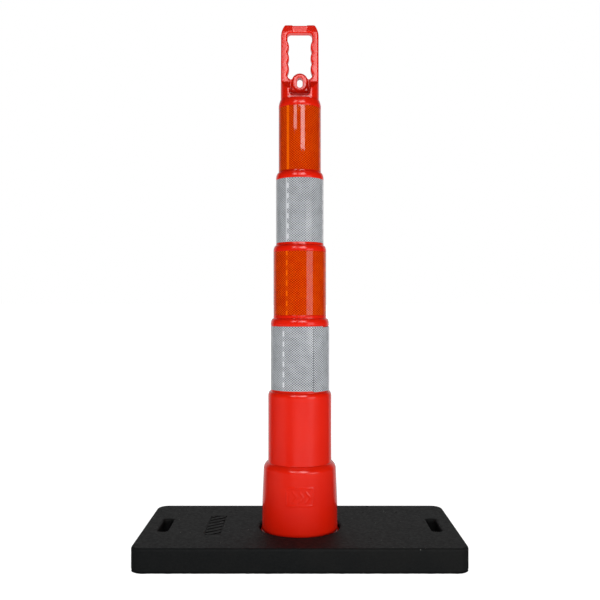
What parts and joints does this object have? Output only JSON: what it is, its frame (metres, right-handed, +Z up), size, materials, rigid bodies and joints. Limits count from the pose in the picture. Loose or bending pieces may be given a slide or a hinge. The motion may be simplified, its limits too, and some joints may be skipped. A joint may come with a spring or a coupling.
{
  "type": "traffic channelizer post",
  "caption": "Tall stepped traffic channelizer post with a loop handle and reflective wraps, standing in a heavy rectangular rubber drop-over base.",
  "frame": {"origin": "on the floor at the post's axis, at the middle of the base's underside", "axes": "+Z up the post, X along the base's long side and the handle's width, -Y is the front"},
  "size_m": [0.633, 0.305, 1.067],
  "materials": {
    "post_plastic": "satin",
    "orange_sheeting": "glossy prismatic film",
    "white_sheeting": "glossy prismatic film",
    "base_rubber": "matte, fine grain"
  },
  "bodies": {
    "post": {"post": "post_plastic", "sheet_1_orange": "orange_sheeting", "sheet_2_white": "white_sheeting", "sheet_3_orange": "orange_sheeting", "sheet_4_white": "white_sheeting"},
    "base": {"base": "base_rubber"}
  },
  "joints": [
    {"name": "base_lift", "type": "slide", "parent": "post", "child": "base", "axis": [0, 0, 1], "range_m": [0, 1.1]}
  ]
}
